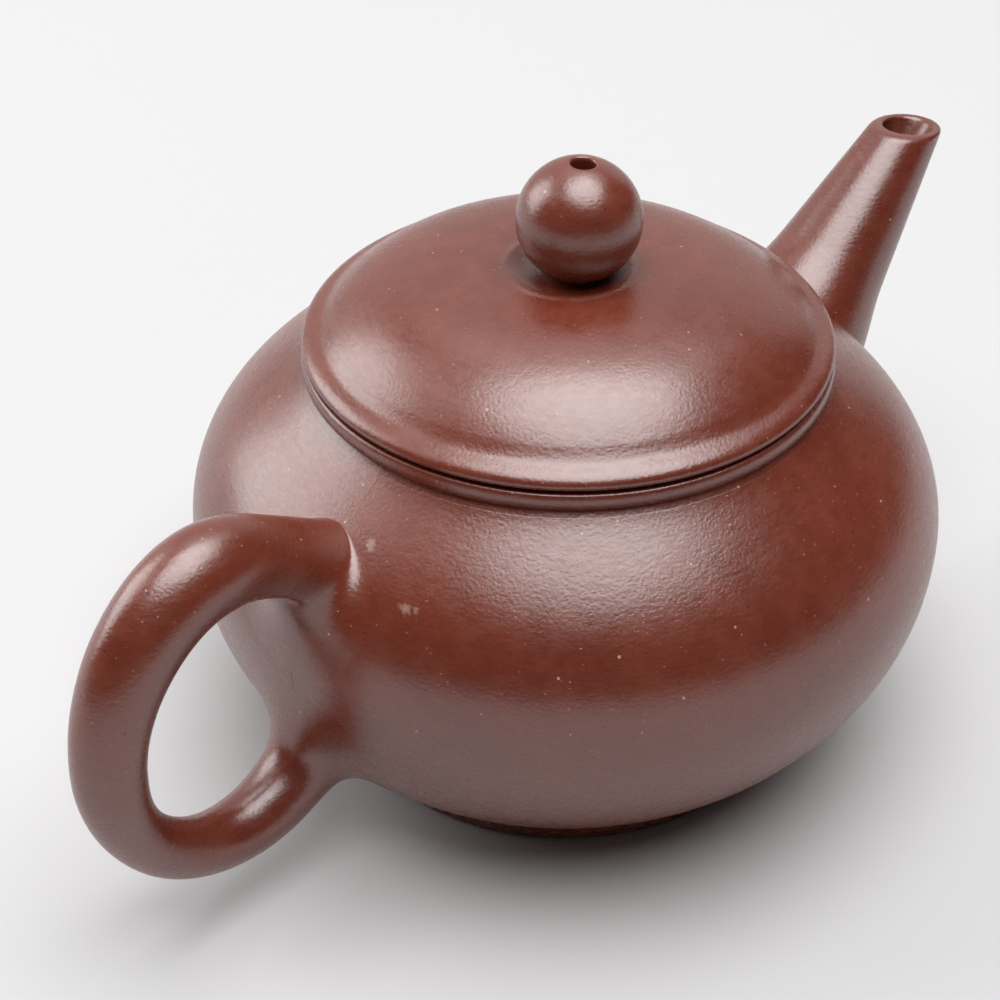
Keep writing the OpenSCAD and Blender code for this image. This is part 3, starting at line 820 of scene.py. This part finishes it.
def clay(name, rough=0.28, grain=1.0, pale=0.0):
    """Fine unglazed clay, burnished with a horn tool: satin, finely grained, with pale specks."""
    n = Nodes(name)
    obj = n.add("ShaderNodeTexCoord").outputs["Object"]
    at = n.stretched(obj, (1 / MM, 1 / MM, 1 / MM))  # from here on in mm
    cloud = n.noise(at, 0.035, 3.0, 0.55)
    mottle = n.noise(at, 0.35, 4.0, 0.6)
    fine = n.noise(at, 3.0, 3.0, 0.55)
    level = n.stretched(at, (0.5, 0.5, 2.2))
    strokes = n.noise(level, 1.5, 4.0, 0.6)
    color = n.mix(n.range(cloud, 0.3, 0.7), DARK, WARM)
    color = n.mix(n.range(mottle, 0.35, 0.75, 0.0, 0.22), color, REDDER)
    grit = n.dots(at, 0.62, 0.66, 0.03, 0.1)
    dust = n.dots(at, 1.5, 0.5, 0.03, 0.12)
    lint = n.dots(n.stretched(at, (0.45, 0.45, 2.6)), 1.0, 0.7, 0.03, 0.08)
    light = n.math("MAXIMUM", grit, n.math("MULTIPLY", n.math("MAXIMUM", dust, lint), 0.7))
    color = n.mix(n.math("MULTIPLY", light, 0.62), color, GRAIN)
    for x, y, z, size in SMEARS:
        far = n.vector_math("LENGTH", n.vector_math("SUBTRACT", at, (x, y, z))[0])["Value"]
        ragged = n.math("MULTIPLY_ADD", n.noise(at, 1.7, 4.0, 0.7), 2.6 * size, -1.3 * size)
        stain = n.range(n.math("ADD", far, ragged), 0.2 * size, size, 0.42, 0.0)
        color = n.mix(stain, color, DRIED)
    if pale:
        color = n.mix(pale, color, GRAIN)
    # tiny pits: the bump sinks them, and their colour is darkened with painted shade
    shaded_pits = n.dots(at, 0.9, 0.86, 0.07, 0.16)
    color = n.mix(n.math("MULTIPLY", shaded_pits, 0.7), color, PIT_SHADE)
    r = n.range(strokes, 0.3, 0.7, rough - 0.05, rough + 0.05, "LINEAR")
    r = n.math("ADD", r, n.range(mottle, 0.3, 0.7, -0.02, 0.02, "LINEAR"))
    height = n.math("ADD", n.math("MULTIPLY", fine, 0.62), n.math("MULTIPLY", strokes, 0.38))
    height = n.math("ADD", height, n.math("MULTIPLY", light, 0.3))
    height = n.math("SUBTRACT", height, n.math("MULTIPLY", shaded_pits, 0.5))
    bump = n.add("ShaderNodeBump", Strength=0.38 * grain, Distance=0.12 * MM, Height=height)
    look = {"Base Color": color, "Roughness": r, "IOR": SHEEN_IOR, "Normal": bump.outputs[0]}
    return n.surface(n.add("ShaderNodeBsdfPrincipled", **look))


def floor_material():
    n = Nodes("pale_floor")
    look = {"Base Color": (0.565, 0.56, 0.565, 1), "Roughness": 0.9}
    return n.surface(n.add("ShaderNodeBsdfPrincipled", **look))


def dress(obj, material, body, slot, *nodes):
    obj.data.materials.clear()
    obj.data.materials.append(material)
    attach(obj, body)
    if nodes:
        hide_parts(*nodes)


burnished = clay("burnished_clay_look")
bare = clay("bare_clay_look", rough=0.6, grain=1.6)

dress(
    add_pot_skin(), burnished, "pot", "burnished_clay", "belly_wall", "shoulder_disc", "base_disc"
)
dress(add_foot(), burnished, "pot", "burnished_clay", "foot_ring")
dress(add_mouth(), burnished, "pot", "burnished_clay", "neck_collar", "mouth_ring")
dress(add_handle(), burnished, "pot", "burnished_clay", "handle")
dress(add_spout(), burnished, "pot", "burnished_clay", "spout")
dress(add_lid_top(), burnished, "lid", "burnished_clay", "lid_rim", "lid_dome")
dress(add_flange(), bare, "lid", "bare_clay", "lid_flange")
dress(add_knob(), burnished, "lid", "burnished_clay", "knob")
slip = clay("dry_slip_look", rough=0.45, grain=1.5, pale=0.12)
for name, (points, r, rough) in SLIP_LINES.items():
    dress(bead(name, points, r, rough), slip, "pot", "burnished_clay")
# the strainer keeps its CAD shape and takes the bare look
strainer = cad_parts["spout_strainer"]
strainer.data.materials.clear()
strainer.data.materials.append(bare)

# ---------------------------------------------------------------- stage and light

FLOOR_HALF = 1.0
BACKDROP, ROOM_LIGHT = 0.84, 0.04
AWAY = Vector((LOOK.x, LOOK.y, 0)).normalized()  # level, from the camera towards the pot
SIDE = Vector((RIGHT.x, RIGHT.y, 0)).normalized()
UPWARDS = Vector((0, 0, 1))
MID = Vector((0, 0, 0.03))


def add_floor():
    mesh = bpy.data.meshes.new("floor")
    corners = [(FLOOR_HALF * x, FLOOR_HALF * y, 0) for x, y in ((-1, -1), (1, -1), (1, 1), (-1, 1))]
    mesh.from_pydata(corners, [], [(0, 1, 2, 3)])
    floor = placed("floor", mesh)
    mesh.materials.append(floor_material())


def box_at(name, turn, rise, span_wide, span_high, glow, reach=1.2, shape="RECTANGLE"):
    """A soft box reach metres from the pot, seen from it turn degrees right of the far side and
    rise degrees above level, and as wide and high as the given spans."""
    turn, rise = math.radians(turn), math.radians(rise)
    level = AWAY * (math.cos(rise) * math.cos(turn)) + SIDE * (math.cos(rise) * math.sin(turn))
    back = level + Vector((0, 0, math.sin(rise)))
    wide = 2 * reach * math.tan(math.radians(span_wide / 2))
    high = 2 * reach * math.tan(math.radians(span_high / 2))
    data = bpy.data.lights.new(name, "AREA")
    data.shape, data.size, data.size_y = shape, wide, high
    data.energy = glow * math.pi * wide * high * (math.pi / 4 if shape == "ELLIPSE" else 1)
    along = SIDE if back.z > 0.9 else UPWARDS.cross(back).normalized()
    along = (along - back * along.dot(back)).normalized()
    place = MID + reach * back
    placed(name, data).matrix_world = frame_matrix(along, back.cross(along), back, place)


add_floor()
box_at("top_box", 140, 81, 56, 54, 5.2, shape="ELLIPSE")
box_at("top_heart", 60, 83, 30, 26, 0.8)
box_at("top_far", 10, 60, 56, 24, 1.1)
box_at("left_high", -78, 52, 40, 20, 0.9)
box_at("left_box", -68, 24, 34, 38, 4.0)
box_at("far_wall", -5, 22, 96, 44, 0.6)

world = bpy.data.worlds.new("room")
bpy.context.scene.world = world
world.use_nodes = True
tree = world.node_tree
tree.nodes["Background"].inputs[0].default_value = (1, 1, 1, 1)
# the room's own light is faint, but the camera sees a pale backdrop beyond the floor
seen = tree.nodes.new("ShaderNodeMath")
seen.operation = "MULTIPLY_ADD"
tree.links.new(tree.nodes.new("ShaderNodeLightPath").outputs["Is Camera Ray"], seen.inputs[0])
seen.inputs[1].default_value = BACKDROP
seen.inputs[2].default_value = ROOM_LIGHT
tree.links.new(seen.outputs[0], tree.nodes["Background"].inputs[1])

bpy.context.scene.view_settings.view_transform = "Standard"
